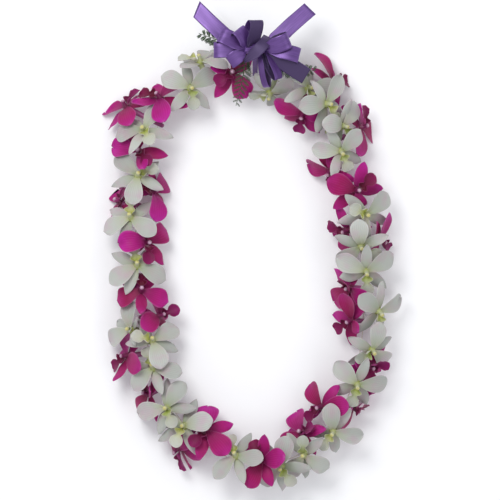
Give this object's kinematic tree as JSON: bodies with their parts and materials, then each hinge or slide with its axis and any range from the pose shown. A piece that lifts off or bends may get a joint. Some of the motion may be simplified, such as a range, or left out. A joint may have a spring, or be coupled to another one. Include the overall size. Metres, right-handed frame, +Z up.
{
  "type": "fresh flower lei",
  "caption": "Fresh orchid lei: white and magenta blooms strung on one thread in a closed loop, with a purple satin bow and fern",
  "frame": {"origin": "bottom centre of the bounding box, on the table that the lei lies on", "axes": "+Z up out of the table; +Y along the loop's length toward the bow; +X to the right with the bow at the top"},
  "size_m": [0.3072, 0.5048, 0.0826],
  "materials": {
    "petals_white": "soft satin",
    "petals_magenta": "soft satin",
    "fern": "matte",
    "ribbon": "satin",
    "thread": "matte"
  },
  "bodies": {
    "root": {"thread": "thread", "bloom_white_01": "petals_white", "bloom_white_02": "petals_white", "bloom_white_03": "petals_white", "bloom_white_04": "petals_white", "bloom_white_05": "petals_white", "bloom_white_06": "petals_white", "bloom_white_07": "petals_white", "bloom_white_08": "petals_white", "bloom_white_09": "petals_white", "bloom_white_10": "petals_white", "bloom_white_11": "petals_white", "bloom_white_12": "petals_white", "bloom_white_13": "petals_white", "bloom_white_14": "petals_white", "bloom_white_15": "petals_white", "bloom_white_16": "petals_white", "bloom_white_17": "petals_white", "bloom_white_18": "petals_white", "bloom_white_19": "petals_white", "bloom_white_20": "petals_white", "bloom_white_21": "petals_white", "bloom_white_22": "petals_white", "bloom_white_23": "petals_white", "bloom_white_24": "petals_white", "bloom_white_25": "petals_white", "bloom_white_26": "petals_white", "bloom_magenta_01": "petals_magenta", "bloom_magenta_02": "petals_magenta", "bloom_magenta_03": "petals_magenta", "bloom_magenta_04": "petals_magenta", "bloom_magenta_05": "petals_magenta", "bloom_magenta_06": "petals_magenta", "bloom_magenta_07": "petals_magenta", "bloom_magenta_08": "petals_magenta", "bloom_magenta_09": "petals_magenta", "bloom_magenta_10": "petals_magenta", "bloom_magenta_11": "petals_magenta", "bloom_magenta_12": "petals_magenta", "bloom_magenta_13": "petals_magenta", "bloom_magenta_14": "petals_magenta", "bloom_magenta_15": "petals_magenta", "bloom_magenta_16": "petals_magenta", "bloom_magenta_17": "petals_magenta", "bloom_magenta_18": "petals_magenta", "bloom_magenta_19": "petals_magenta", "bloom_magenta_20": "petals_magenta", "bloom_magenta_21": "petals_magenta", "bloom_magenta_22": "petals_magenta", "bloom_magenta_23": "petals_magenta", "bloom_magenta_24": "petals_magenta", "bloom_magenta_25": "petals_magenta", "bloom_magenta_26": "petals_magenta", "bloom_magenta_27": "petals_magenta", "ribbon_bow": "ribbon", "ribbon_tie": "ribbon", "fern_left": "fern", "fern_low": "fern", "fern_right": "fern"}
  },
  "joints": []
}
